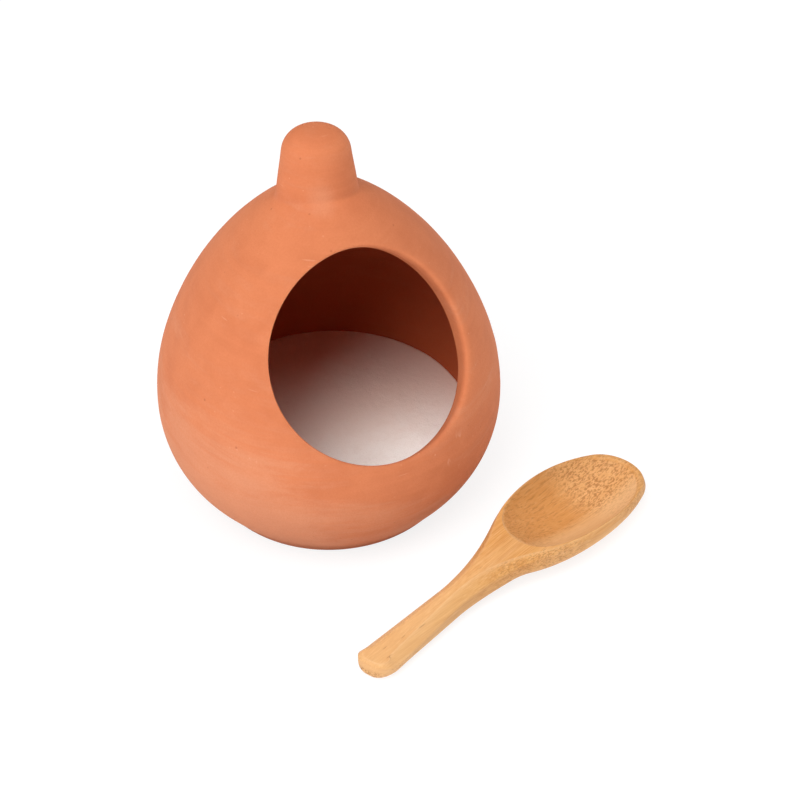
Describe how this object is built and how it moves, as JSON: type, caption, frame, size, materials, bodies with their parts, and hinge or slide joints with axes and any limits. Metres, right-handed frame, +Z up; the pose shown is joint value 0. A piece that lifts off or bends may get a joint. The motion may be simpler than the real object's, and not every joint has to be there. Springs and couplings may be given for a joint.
{
  "type": "salt pig",
  "caption": "Egg-shaped terracotta jar with a tilted round mouth and a finger knob, holding loose salt, with a carved bamboo spoon lying beside it.",
  "frame": {"origin": "centre of the jar's flat base, on the table", "axes": "+Z up along the jar's axis, the mouth faces -Y, +X to the right when looking into the mouth"},
  "size_m": [0.1545, 0.1617, 0.1437],
  "materials": {
    "terracotta": "matte",
    "salt": "matte",
    "bamboo": "satin"
  },
  "bodies": {
    "jar": {"jar": "terracotta", "salt": "salt"},
    "spoon": {"spoon": "bamboo"}
  },
  "joints": [
    {"name": "spoon_lift", "type": "slide", "parent": "jar", "child": "spoon", "axis": [0, 0, 1], "range_m": [0, 0.2]}
  ]
}
